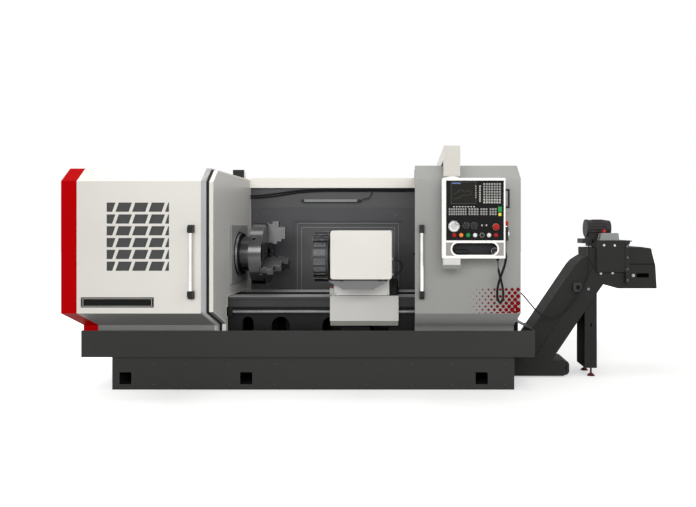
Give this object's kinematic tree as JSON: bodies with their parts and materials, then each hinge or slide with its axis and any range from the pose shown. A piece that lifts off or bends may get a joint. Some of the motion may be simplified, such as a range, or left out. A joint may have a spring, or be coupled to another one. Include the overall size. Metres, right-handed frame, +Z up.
{
  "type": "cnc turning lathe",
  "caption": "Flat bed CNC lathe with sliding doors, chuck, turret on a cross slide, tailstock, swivelling control pendant and a chip conveyor at its end.",
  "frame": {"origin": "centre of the plinth's bottom face, on the floor", "axes": "+X along the spindle towards the tailstock and conveyor, +Y to the rear, +Z up"},
  "size_m": [5.0875, 1.652, 2.017],
  "materials": {
    "dark_grey_paint": "textured",
    "bed_iron": "painted and ground",
    "white_paint": "satin",
    "silver_paint": "satin",
    "red_paint": "gloss",
    "beige_paint": "satin",
    "wall_grey_paint": "satin",
    "brushed_steel": "brushed",
    "chuck_steel": "oiled",
    "black_rubber": "matte",
    "foot_rubber": "matte",
    "black_plastic": "matte",
    "red_plastic": "gloss",
    "orange_plastic": "gloss",
    "green_plastic": "gloss",
    "white_plastic": "gloss",
    "screen_glass": "polished",
    "lamp_glass": "gloss"
  },
  "bodies": {
    "machine": {"base_plinth": "dark_grey_paint", "chip_pan": "dark_grey_paint", "bed_casting": "bed_iron", "headstock_casting": "bed_iron", "headstock_cover": "white_paint", "red_end_cap": "red_paint", "cover_seal": "black_rubber", "spindle_wall_plate": "brushed_steel", "rear_guard": "wall_grey_paint", "rear_beam": "beige_paint", "right_cover": "white_paint", "work_lamp": "lamp_glass", "beam_cable": "black_rubber", "pendant_arm": "beige_paint", "conveyor_casing": "dark_grey_paint", "conveyor_guard": "dark_grey_paint", "conveyor_motor": "dark_grey_paint", "conveyor_switch_box": "silver_paint", "conveyor_leg": "dark_grey_paint", "conveyor_feet": "foot_rubber", "cable_ring": "dark_grey_paint", "conveyor_cable": "black_rubber"},
    "left_door": {"left_door_panel": "white_paint", "left_door_handle": "brushed_steel", "vent_mesh": "black_plastic"},
    "right_door": {"right_door_panel": "silver_paint", "right_door_handle": "brushed_steel"},
    "spindle_and_chuck": {"spindle": "brushed_steel", "chuck_body": "chuck_steel"},
    "jaw_1": {"chuck_jaw_1": "chuck_steel"},
    "jaw_2": {"chuck_jaw_2": "chuck_steel"},
    "jaw_3": {"chuck_jaw_3": "chuck_steel"},
    "carriage": {"saddle": "bed_iron", "apron": "white_paint"},
    "cross_slide_unit": {"cross_slide": "bed_iron", "turret_guard": "white_paint", "coolant_hose": "black_rubber"},
    "turret": {"turret_disc": "chuck_steel", "tool_holders": "chuck_steel"},
    "screw": {"z_ball_screw": "brushed_steel"},
    "tailstock": {"tailstock_body": "bed_iron"},
    "quill_unit": {"quill": "brushed_steel"},
    "pendant": {"pendant_box": "white_paint", "panel_plate": "black_plastic", "screen": "screen_glass", "hand_pendant": "black_plastic", "curly_cord": "black_rubber"},
    "handwheel": {"mpg_handwheel": "brushed_steel"},
    "feed_dial": {"feed_knob": "black_plastic"},
    "speed_dial": {"spindle_knob": "black_plastic"},
    "selector": {"selector_switch": "black_plastic"},
    "key": {"key_switch": "brushed_steel"},
    "estop": {"estop_button": "red_plastic"},
    "push_red": {"button_red": "red_plastic"},
    "push_orange": {"button_orange": "orange_plastic"},
    "push_green": {"button_green": "green_plastic"},
    "push_white": {"button_white": "white_plastic"},
    "push_white_right": {"button_white_right": "white_plastic"},
    "push_red_right": {"button_red_right": "red_plastic"},
    "conveyor_stop": {"conveyor_estop": "red_plastic"}
  },
  "joints": [
    {"name": "left_door_slide", "type": "slide", "parent": "machine", "child": "left_door", "axis": [1, 0, 0], "range_m": [0, 0.871]},
    {"name": "right_door_slide", "type": "slide", "parent": "machine", "child": "right_door", "axis": [-1, 0, 0], "range_m": [0, 0.799]},
    {"name": "spindle_turn", "type": "hinge", "parent": "machine", "child": "spindle_and_chuck", "pos_m": [-0.6, -0.105, 1.147], "axis": [1, 0, 0], "continuous": true},
    {"name": "jaw_1_slide", "type": "slide", "parent": "spindle_and_chuck", "child": "jaw_1", "axis": [0, 0, -1], "range_m": [0, 0.045]},
    {"name": "jaw_2_slide", "type": "slide", "parent": "spindle_and_chuck", "child": "jaw_2", "axis": [0, 0.866, 0.5], "range_m": [0, 0.045]},
    {"name": "jaw_3_slide", "type": "slide", "parent": "spindle_and_chuck", "child": "jaw_3", "axis": [0, -0.866, 0.5], "range_m": [0, 0.045]},
    {"name": "carriage_slide", "type": "slide", "parent": "machine", "child": "carriage", "axis": [1, 0, 0], "range_m": [-0.29, 0.2]},
    {"name": "cross_slide_slide", "type": "slide", "parent": "carriage", "child": "cross_slide_unit", "axis": [0, 1, 0], "range_m": [0, 0.26]},
    {"name": "turret_index", "type": "hinge", "parent": "cross_slide_unit", "child": "turret", "pos_m": [0.094, -0.58, 1.147], "axis": [1, 0, 0], "continuous": true},
    {"name": "screw_turn", "type": "hinge", "parent": "machine", "child": "screw", "pos_m": [0, -0.446, 0.661], "axis": [1, 0, 0], "continuous": true},
    {"name": "tailstock_slide", "type": "slide", "parent": "machine", "child": "tailstock", "axis": [1, 0, 0], "range_m": [-0.15, 0.2]},
    {"name": "quill_slide", "type": "slide", "parent": "tailstock", "child": "quill_unit", "axis": [-1, 0, 0], "range_m": [0, 0.12]},
    {"name": "pendant_swivel", "type": "hinge", "parent": "machine", "child": "pendant", "pos_m": [1.1535, -0.9855, 1.46], "axis": [0, 0, 1], "range_deg": [-90, 0]},
    {"name": "handwheel_turn", "type": "hinge", "parent": "pendant", "child": "handwheel", "pos_m": [1.1661, -1.054, 1.3965], "axis": [0, 1, 0], "continuous": true},
    {"name": "feed_dial_turn", "type": "hinge", "parent": "pendant", "child": "feed_dial", "pos_m": [1.2598, -1.054, 1.402], "axis": [0, 1, 0], "range_deg": [-140, 140]},
    {"name": "speed_dial_turn", "type": "hinge", "parent": "pendant", "child": "speed_dial", "pos_m": [1.3212, -1.054, 1.402], "axis": [0, 1, 0], "range_deg": [-140, 140]},
    {"name": "selector_turn", "type": "hinge", "parent": "pendant", "child": "selector", "pos_m": [1.3828, -1.054, 1.329], "axis": [0, 1, 0], "range_deg": [-45, 45]},
    {"name": "key_turn", "type": "hinge", "parent": "pendant", "child": "key", "pos_m": [1.3988, -1.054, 1.404], "axis": [0, 1, 0], "range_deg": [0, 90]},
    {"name": "estop_press", "type": "slide", "parent": "pendant", "child": "estop", "axis": [0, 1, 0], "range_m": [0, 0.006]},
    {"name": "push_red_press", "type": "slide", "parent": "pendant", "child": "push_red", "axis": [0, 1, 0], "range_m": [0, 0.005], "stiffness_N_per_m": 400},
    {"name": "push_orange_press", "type": "slide", "parent": "pendant", "child": "push_orange", "axis": [0, 1, 0], "range_m": [0, 0.005], "stiffness_N_per_m": 400},
    {"name": "push_green_press", "type": "slide", "parent": "pendant", "child": "push_green", "axis": [0, 1, 0], "range_m": [0, 0.005], "stiffness_N_per_m": 400},
    {"name": "push_white_press", "type": "slide", "parent": "pendant", "child": "push_white", "axis": [0, 1, 0], "range_m": [0, 0.005], "stiffness_N_per_m": 400},
    {"name": "push_white_right_press", "type": "slide", "parent": "pendant", "child": "push_white_right", "axis": [0, 1, 0], "range_m": [0, 0.005], "stiffness_N_per_m": 400},
    {"name": "push_red_right_press", "type": "slide", "parent": "pendant", "child": "push_red_right", "axis": [0, 1, 0], "range_m": [0, 0.005], "stiffness_N_per_m": 400},
    {"name": "conveyor_stop_press", "type": "slide", "parent": "machine", "child": "conveyor_stop", "axis": [0, 0, -1], "range_m": [0, 0.006], "stiffness_N_per_m": 2000, "springref_m": -0.004}
  ],
  "couplings": [
    {"joint": "jaw_2_slide", "follows": "jaw_1_slide", "ratio": 1},
    {"joint": "jaw_3_slide", "follows": "jaw_1_slide", "ratio": 1},
    {"joint": "screw_turn", "follows": "carriage_slide", "rad_per_m": 523.6}
  ]
}
